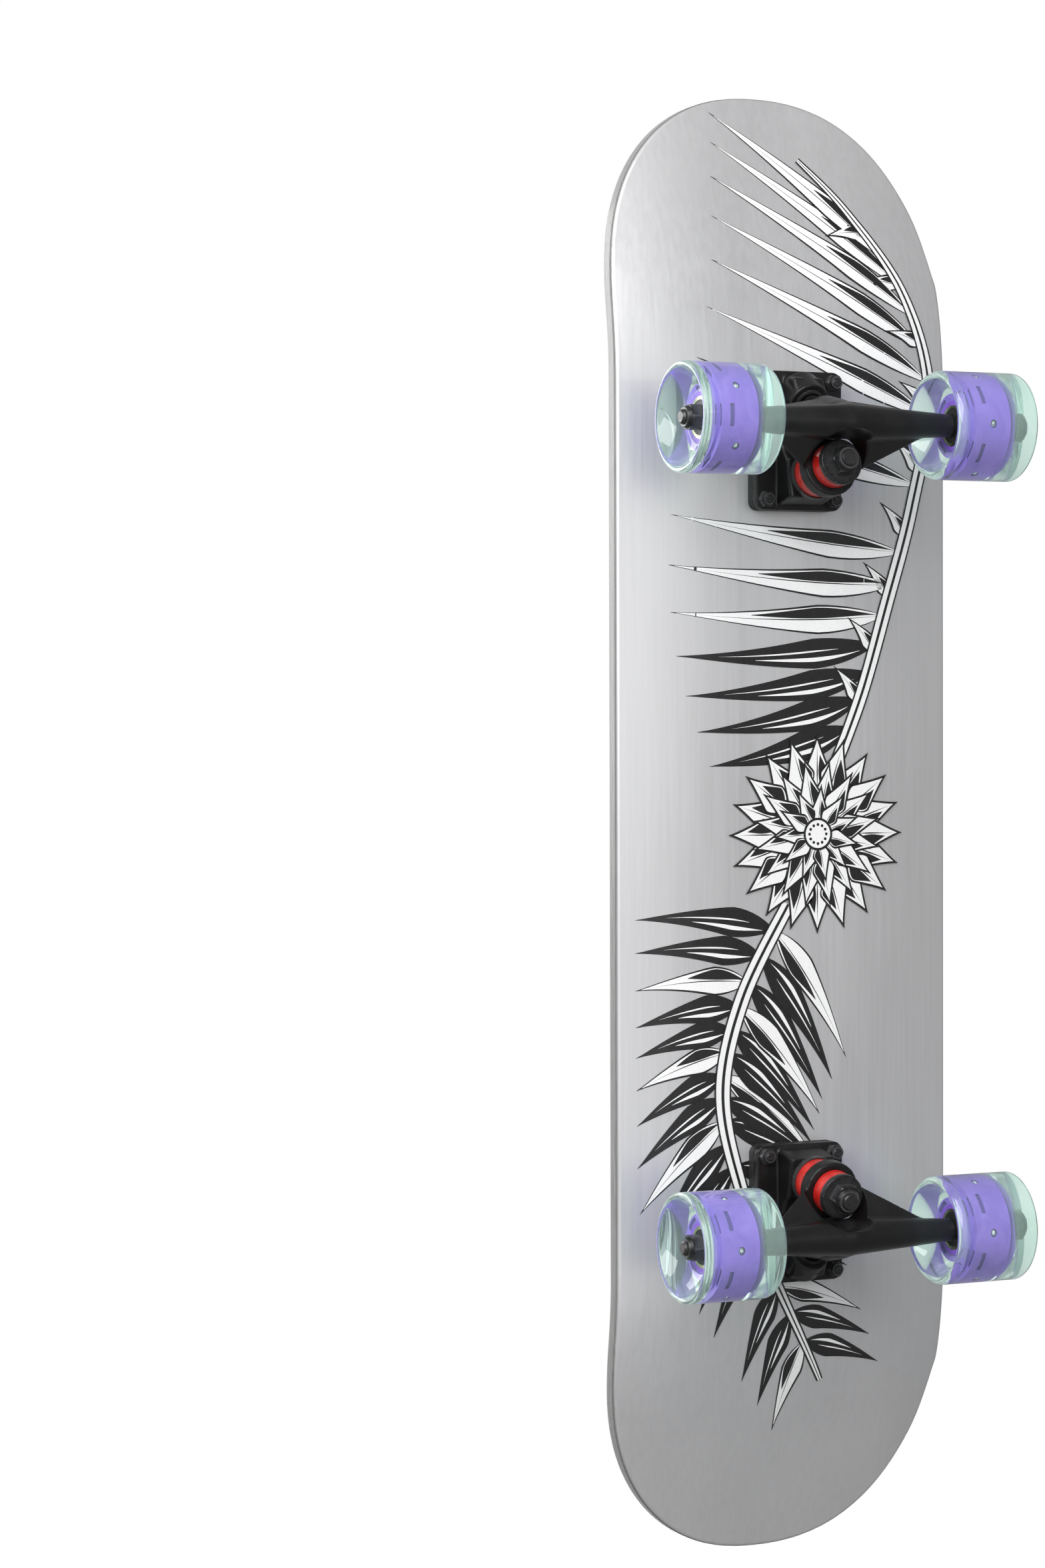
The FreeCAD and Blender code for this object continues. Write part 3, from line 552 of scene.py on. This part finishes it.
def bezier(a, b, c, t):
    return tuple((1 - t) ** 2 * p + 2 * t * (1 - t) * q + t * t * r for p, q, r in zip(a, b, c))


def leaf_width(t, belly):
    """0 at both ends and 1 at belly, rounder towards the stem than towards the tip."""
    if t < belly:
        return math.sin(math.pi / 2 * t / belly) ** 0.8
    return (1 - (t - belly) / (1 - belly)) ** 1.05


def ring_rows(centre, inner, outer, steps=48, across=2):
    """Rows across a full ring, or a disc if inner is 0."""
    rows = []
    for i in range(steps + 1):
        a = math.radians(360 * i / steps)
        rows.append([(centre[0] + r * math.cos(a), centre[1] + r * math.sin(a))
                     for r in (inner + (outer - inner) * j / across for j in range(across + 1))])
    return rows


def stem_rows(points, widths, across=2):
    """Rows across a smooth stem through a few points, each with its own width."""
    rows = []
    steps, last = 90, len(points) - 1
    for i in range(steps + 1):
        u = i / steps * last
        k = min(int(u), last - 1)
        x, y, slope = spline_point(points, u)
        w = widths[k] + (widths[k + 1] - widths[k]) * (u - k)
        rows.append([(x - slope[1] * w * s / 2, y + slope[0] * w * s / 2)
                     for s in (2 * j / across - 1 for j in range(across + 1))])
    return rows


def spline_point(points, u):
    """A point and its direction on the Catmull-Rom curve through the points, u counting the points."""
    k = min(int(u), len(points) - 2)
    f = u - k
    near = [points[max(0, min(len(points) - 1, k + d))] for d in (-1, 0, 1, 2)]
    at, slope = [], []
    for a, b, c, d in zip(*near):
        square, cube = 2 * a - 5 * b + 4 * c - d, 3 * b - a - 3 * c + d
        at.append(0.5 * (2 * b + (c - a) * f + square * f ** 2 + cube * f ** 3))
        slope.append(0.5 * ((c - a) + 2 * square * f + 3 * cube * f ** 2))
    size = math.hypot(*slope)
    return at[0], at[1], (slope[0] / size, slope[1] / size)


def turned_by(direction, degrees):
    a = math.radians(degrees)
    return (direction[0] * math.cos(a) - direction[1] * math.sin(a),
            direction[0] * math.sin(a) + direction[1] * math.cos(a))


class Drawing:
    """The underside's drawing: black ink, and white ink one layer above it."""

    def __init__(self):
        finder = surface_finder("deck")
        self.black = Print("print_black", finder, -1, 0.04)
        self.white = Print("print_white", finder, -1, 0.04 + INK)

    def leaf(self, base, tip, width, sag, layer, dark):
        """Draws one leaf, if the deck holds it; dark is how far black ink fills it from the stem."""
        dx, dy = tip[0] - base[0], tip[1] - base[1]
        bend = (base[0] + 0.45 * dx - sag * dy, base[1] + 0.45 * dy + sag * dx)
        shape = Leaf(base, bend, tip, width)
        if not self.black.strip(shape.grown(0.95).rows(), layer):
            return
        if dark >= 1:
            self.white.strip(shape.rows(-0.62, -0.30, 0.10, 0.66, across=1), layer)
            self.white.strip(shape.rows(0.10, 0.26, 0.22, 0.84, across=1), layer)
            return
        self.white.strip(shape.rows(), layer)
        self.black.strip(shape.rows(-0.05, 0.05, 0.0, 0.95, across=1), layer + 1)
        self.black.strip(shape.rows(0.10, 0.94, 0.04, dark), layer + 1)

    def stem(self, points, widths, layer):
        self.black.strip(stem_rows(points, [w + 1.9 for w in widths]), layer)
        self.white.strip(stem_rows(points, widths), layer)
        self.black.strip(stem_rows(points, [0.22 * w for w in widths], across=1), layer + 1)

    def long_branch(self):
        """Long leaves on one side of the stem and short thorns on the other."""
        stem = [(366, 20), (338, 46), (292, 76), (236, 90), (176, 78), (120, 60), (72, 44), (30, 26)]
        count = 19
        for i in range(count):
            share = i / (count - 1)
            x, y, _ = spline_point(stem, 0.62 + 5.75 * share)
            reach = 46 + 100 * math.sin(math.pi * min(0.10 + share * 0.80, 1.0)) ** 0.8
            heading = turned_by((0, -1), 50 - 64 * share)
            tip = (x + heading[0] * reach, y + heading[1] * reach)
            dark = 0.40 + 0.35 * share if share < 0.80 else 1.0
            self.leaf((x, y), tip, 10.0 + 5.0 * share, 0.07 - 0.15 * share, 3 * (i % 2), dark)
        for i in range(9):
            x, y, slope = spline_point(stem, 1.3 + 0.6 * i)
            heading = turned_by(slope, 122)
            reach = min(22, (THORN_LIMIT - y) / max(heading[1], 0.2))
            if reach > 7:
                tip = (x + heading[0] * reach, y + heading[1] * reach)
                self.leaf((x, y), tip, 7.5, 0.1, 3, 0.6)
        self.stem(stem, [1.6, 3.6, 5.6, 7.0, 7.5, 7.5, 7.0, 6.5], 6)

    def flower(self, x, y):
        """Three rings of petals, the inner ones on top, round an eye with a ring of dots."""
        self.black.strip(ring_rows((x, y), 0.0, 38.0, steps=72, across=6), 8)
        rings = ((51, 24, 20, 15.5, 0), (37, 12, 16, 12.5, 11), (24, 6, 11, 9.0, 5))
        for level, (outer, inner, petals, width, turn) in enumerate(rings):
            for i in range(petals):
                out = turned_by((1, 0), 360 / petals * i + turn)
                base = (x + out[0] * inner, y + out[1] * inner)
                tip = (x + out[0] * outer, y + out[1] * outer)
                self.leaf(base, tip, width, 0.0, 9 + 3 * level + (i % 2), 0.72)
        self.white.strip(ring_rows((x, y), 0.0, 8.6, across=4), 19)
        self.black.strip(ring_rows((x, y), 7.6, 8.9), 20)
        for i in range(12):
            dx, dy = turned_by((5.2, 0), 30 * i)
            self.black.strip(ring_rows((x + dx, y + dy), 0.0, 0.85, steps=10, across=1), 20)

    def dark_bunch(self):
        """Pairs of leaves, two out of three of them black, on a stem that thins to its end."""
        stem = [(-42, -2), (-92, -30), (-142, -42), (-192, -32), (-246, -10), (-304, 22)]
        count = 18
        for i in range(count):
            share = i / (count - 1)
            x, y, slope = spline_point(stem, 0.35 + 4.2 * share)
            for side in (-1, 1):
                heading = turned_by(slope, side * (64 - 20 * share))
                room = (math.copysign(BUNCH_LIMIT, heading[1]) - y) / heading[1]
                reach = min(80 - 32 * share, room)
                tip = (x + heading[0] * reach, y + heading[1] * reach)
                dark = 1.0 if (i + (side > 0)) % 3 else 0.6
                width = min(14.0 - 3 * share, 0.24 * reach)
                self.leaf((x, y), tip, width, 0.08 * side, 3 * (i % 2), dark)
        self.stem(stem, [7.0, 8.0, 8.0, 7.0, 5.0, 2.0], 6)


def print_underside():
    """A long branch of leaves, an open flower and a bunch of darker leaves, in white and black ink."""
    drawing = Drawing()
    drawing.long_branch()
    drawing.flower(-4, 16)
    drawing.dark_bunch()
    drawing.black.finish("deck", ink("ink_black", (0.012, 0.012, 0.013), (0.006, 0.006, 0.007), 0.32))
    drawing.white.finish("deck", ink("ink_white", (0.84, 0.84, 0.84), (0.78, 0.78, 0.785), 0.38))


def print_top():
    """Three plain white chevrons in the middle of the grip tape."""
    chevrons = Print("grip_chevrons", surface_finder("grip_tape"), 1, 0.0)
    spacing, thick, sweep, reach = 34, 15, 0.62, 50
    for x in (spacing, 0, -spacing):
        for side in (-1, 1):
            chevrons.strip([[(x - sweep * a, side * a), (x - thick - sweep * a, side * a)]
                            for a in range(0, reach + 1, 5)])
    chevrons.finish("grip", ink("grip_ink", (0.70, 0.70, 0.70), (0.42, 0.42, 0.42), 0.7))


# ---- floor, lights and camera ---------------------------------------------------------------------
FLOOR_HALF = 3.0
GLOW_DISTANCES = (0.45, 1.7)    # from the board's middle, where the floor starts to glow and glows fully
FLOOR_GLOW = 0.75


def make_floor():
    """A pale floor that only the camera sees, and only from above, so that light still comes from below.
    It glows more with distance, so that it meets the white studio without a line."""
    corners = [(x * FLOOR_HALF, y * FLOOR_HALF, 0) for x, y in ((-1, -1), (1, -1), (1, 1), (-1, 1))]
    floor = add_mesh("floor", corners, [(0, 1, 2, 3)])
    look = Look("floor_paint", Roughness=0.6)
    look.colour(look.mix(look.noise(3.0, 3.0), (0.74, 0.74, 0.735), (0.78, 0.78, 0.775)))
    look.bump(look.noise(400.0, 3.0), 0.05, 0.3)
    away = look.node("VectorMath", {0: look.where}, operation="LENGTH").outputs["Value"]
    glow = look.spread(away, *GLOW_DISTANCES, 0.0, FLOOR_GLOW)
    look.tree.links.new(glow, look.shader.inputs["Emission Strength"])
    look.shader.inputs["Emission Color"].default_value = (1.0, 1.0, 1.0, 1.0)
    front = look.math("SUBTRACT", 1.0, look.node("NewGeometry").outputs["Backfacing"])
    seen = look.math("MULTIPLY", front, look.node("LightPath").outputs["Is Camera Ray"])
    clear = look.node("BsdfTransparent")
    both = look.node("MixShader", {0: seen, 1: clear.outputs[0], 2: look.shader.outputs[0]})
    look.tree.links.new(both.outputs[0], look.output.inputs["Surface"])
    floor.data.materials.append(look.material)
    if floor.data.polygons[0].normal.z < 0:
        floor.data.flip_normals()


def add_lamp(name, place, aim, width, height, watts, mirrored=True):
    """A soft lamp that is not seen through the clear wheels, nor as a reflection if it isn't mirrored."""
    lamp = bpy.data.lights.new(name, "AREA")
    lamp.shape, lamp.size, lamp.size_y = "RECTANGLE", width, height
    lamp.energy = watts
    obj = bpy.data.objects.new(name, lamp)
    obj.location = place
    obj.rotation_euler = (Vector(aim) - Vector(place)).to_track_quat("-Z", "Y").to_euler()
    obj.visible_transmission = False
    obj.visible_glossy = mirrored
    bpy.context.scene.collection.objects.link(obj)


STUDIO_GLOW = 0.3
SEEN_GLOW = (("Is Camera Ray", 0.7), ("Is Transmission Ray", 0.45))     # added where the studio is seen


def make_lights():
    """A white studio with soft lamps, most of them under the board, on the side of the print."""
    world = bpy.data.worlds.new("studio")
    world.use_nodes = True
    back = world.node_tree.nodes["Background"]
    back.inputs["Color"].default_value = (1.0, 1.0, 1.0, 1.0)
    path = world.node_tree.nodes.new("ShaderNodeLightPath")
    strength = None
    for kind, more in SEEN_GLOW:
        step = world.node_tree.nodes.new("ShaderNodeMath")
        step.operation = "MULTIPLY_ADD"
        world.node_tree.links.new(path.outputs[kind], step.inputs[0])
        step.inputs[1].default_value = more
        step.inputs[2].default_value = STUDIO_GLOW
        if strength:
            world.node_tree.links.new(strength, step.inputs[2])
        strength = step.outputs[0]
    world.node_tree.links.new(strength, back.inputs["Strength"])
    bpy.context.scene.world = world
    add_lamp("key_below", (1.5, -1.7, -1.6), (0, 0, 0.08), 2.4, 2.4, 107)
    add_lamp("fill_below", (0.3, -0.4, -2.2), (0, 0, 0.08), 2.2, 2.2, 12.4)
    add_lamp("nose_below", (1.9, -0.3, -1.7), (0, 0, 0.08), 1.8, 1.8, 4)
    add_lamp("key_above", (0.6, -1.0, 1.6), (0, 0, 0.05), 1.2, 1.2, 22)
    add_lamp("rim_above", (-0.9, 1.3, 1.2), (0, 0, 0.05), 1.0, 0.6, 12, mirrored=False)
    sun = bpy.data.lights.new("sky_above", "SUN")
    sun.energy, sun.angle = 1.3, math.radians(60)
    sky = bpy.data.objects.new("sky_above", sun)
    sky.visible_transmission = False
    bpy.context.scene.collection.objects.link(sky)


LENS = 84.2                                 # millimetres, for Blender's usual 36 mm sensor
CAMERA_TURN = (1.293, -24.53, -0.697)       # pitch, yaw and roll in degrees
CAMERA_AWAY = 1.991                         # metres to the middle of the board's underside
BOARD_RIGHT, BOARD_DOWN = 0.1457, 0.0234    # metres from the middle of the view to the middle of the board


def make_camera():
    """A long lens under the board, looking up at its printed side with the nose at the top."""
    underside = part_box("deck")[0].z
    turn = Euler([math.radians(a) for a in CAMERA_TURN], "XYZ").to_matrix()
    nose_up = Matrix.Rotation(-math.pi / 2, 3, "Z")
    back_to_row = (turn @ nose_up).transposed()
    place = Vector((0, 0, underside)) - back_to_row @ Vector((BOARD_RIGHT, BOARD_DOWN, CAMERA_AWAY))
    facing = back_to_row @ Matrix.Diagonal((1, -1, -1))
    data = bpy.data.cameras.new("camera")
    data.lens = LENS
    camera = bpy.data.objects.new("camera", data)
    camera.matrix_world = Matrix.Translation(place) @ facing.to_4x4()
    bpy.context.scene.collection.objects.link(camera)
    bpy.context.scene.camera = camera


# ---- putting it together ----------------------------------------------------------------------------
def main():
    make_camera()
    make_lights()
    make_floor()
    bpy.context.scene.view_settings.view_transform = "Standard"

    casting = cast_black()
    looks = {
        "deck": silver_lacquer(),
        "grip": grip_grit(),
        "black_steel": black_steel(),
        "riser": dull_rubber("riser_rubber", (0.022, 0.022, 0.022), (0.012, 0.012, 0.012)),
        "truck_alloy": casting,
        "pivot_urethane": dull_rubber("pivot_urethane", (0.03, 0.03, 0.03), (0.015, 0.015, 0.015), 0.45),
        "bushing": red_urethane(),
        "axle_steel": bright_steel("axle_steel", (0.10, 0.10, 0.10), 0.40),
        "tyre_urethane": clear_urethane(),
        "core_plastic": violet_plastic(),
        "led": lamp_clear(),
        "bearing_steel": bright_steel("bearing_steel", (0.50, 0.52, 0.36), 0.2),
        "shield": dull_rubber("seal_rubber", (0.02, 0.02, 0.02), (0.01, 0.01, 0.01), 0.4),
        "magnet": dull_rubber("ferrite", (0.06, 0.06, 0.065), (0.03, 0.03, 0.03), 0.5),
    }
    for entry in frame["record"]["subparts"]:
        obj = NODES[entry["node"]]
        obj.data.materials.clear()
        obj.data.materials.append(looks[entry["material_slot"]])

    for end in ENDS:
        cast_copy(f"{end}_hanger", f"{end}_hanger", casting, voxel_mm=0.6, rounds=16)
        cast_copy(f"{end}_baseplate", "board", casting, voxel_mm=0.5, rounds=8)
        for kind in BUSHINGS:
            make_bushing(end, kind, looks["bushing"])
        for side in SIDES:
            make_tyre(end, side, looks["tyre_urethane"])
    print_underside()
    print_top()


main()
